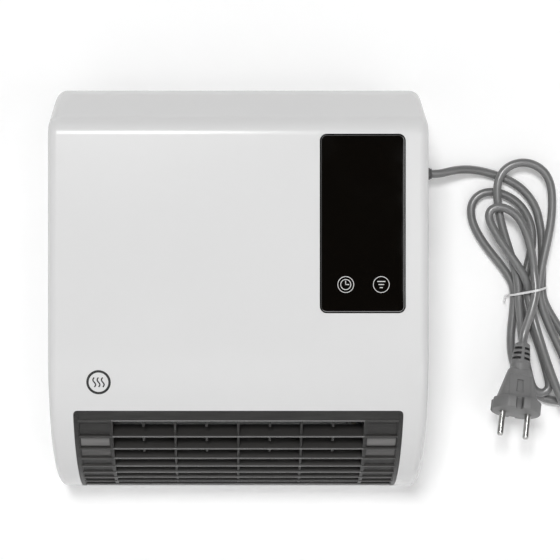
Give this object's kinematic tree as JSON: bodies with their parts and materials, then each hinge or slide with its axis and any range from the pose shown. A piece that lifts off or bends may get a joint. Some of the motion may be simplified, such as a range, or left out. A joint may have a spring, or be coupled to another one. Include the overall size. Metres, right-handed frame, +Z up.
{
  "type": "bathroom wall fan heater",
  "caption": "Wall-hung bathroom fan heater with a curved nose, black touch panel, louvred outlet below and a tied mains cord with plug.",
  "frame": {"origin": "centre of the back face that lies on the wall", "axes": "+X to the right as seen from the front, +Y into the wall, +Z up along the wall"},
  "size_m": [0.4014, 0.125, 0.296],
  "materials": {
    "shell_white": "high gloss",
    "shell_back_white": "satin",
    "grille_charcoal": "fine grain",
    "panel_black": "polished",
    "board_green": "solder mask",
    "module_grey": "matte",
    "spring_steel": "plain",
    "duct_grey": "matte",
    "plate_steel": "zinc plated",
    "wheel_grey": "matte",
    "shaft_steel": "ground",
    "bush_bronze": "sintered",
    "holder_rubber": "matte",
    "stack_steel": "laminated",
    "coil_copper": "lacquered",
    "rotor_steel": "turned",
    "screw_steel": "zinc plated",
    "core_aluminium": "plain",
    "holder_plastic": "matte",
    "terminal_brass": "tinned",
    "cutout_ceramic": "matte",
    "fuse_case": "matte",
    "relay_blue": "matte",
    "capacitor_yellow": "matte",
    "terminal_green": "matte",
    "switch_black": "satin",
    "rocker_black": "gloss",
    "cord_grey": "smooth sheath",
    "clamp_white": "matte",
    "wire_white": "sheath",
    "wire_blue": "sheath",
    "wire_brown": "sheath",
    "ribbon_grey": "sheath",
    "tie_white": "coated wire",
    "plug_grey": "moulded",
    "pin_nickel": "nickel plated"
  },
  "bodies": {
    "heater": {"front_shell": "shell_white", "rear_shell": "shell_back_white", "outlet_grille": "grille_charcoal", "display_glass": "panel_black", "display_board": "board_green", "display_module": "module_grey", "touch_springs": "spring_steel", "duct_rear": "duct_grey", "duct_front": "duct_grey", "end_plate_left": "plate_steel", "end_plate_right": "plate_steel", "bearing_bush": "bush_bronze", "bearing_rubber": "holder_rubber", "motor_stack": "stack_steel", "motor_coil": "coil_copper", "motor_bracket_inner": "plate_steel", "motor_bracket_outer": "plate_steel", "motor_bolts": "screw_steel", "heater_core": "core_aluminium", "heater_holders": "holder_plastic", "heater_terminals": "terminal_brass", "thermal_cutout": "cutout_ceramic", "thermal_fuse": "fuse_case", "control_board": "board_green", "board_relays": "relay_blue", "board_capacitor": "capacitor_yellow", "terminal_block": "terminal_green", "power_switch": "switch_black", "cord_gland": "cord_grey", "cord_tail": "cord_grey", "cord_clamp": "clamp_white", "inner_screws": "screw_steel", "case_screws": "screw_steel", "heater_wires": "wire_white", "motor_wires": "wire_blue", "supply_wires": "wire_brown", "ribbon_cable": "ribbon_grey", "cord_lead": "cord_grey", "cord_hank": "cord_grey", "twist_tie": "tie_white", "plug_body": "plug_grey", "plug_pins": "pin_nickel"},
    "fan": {"fan_wheel": "wheel_grey", "motor_shaft": "shaft_steel", "wheel_stub": "shaft_steel", "motor_rotor": "rotor_steel"},
    "rocker": {"switch_rocker": "rocker_black"}
  },
  "joints": [
    {"name": "fan_spin", "type": "hinge", "parent": "heater", "child": "fan", "pos_m": [-0.005, -0.066, 0.02], "axis": [1, 0, 0], "continuous": true},
    {"name": "switch_rock", "type": "hinge", "parent": "heater", "child": "rocker", "pos_m": [0.1308, -0.015, 0.044], "axis": [0, 1, 0], "range_deg": [-18, 0]}
  ]
}
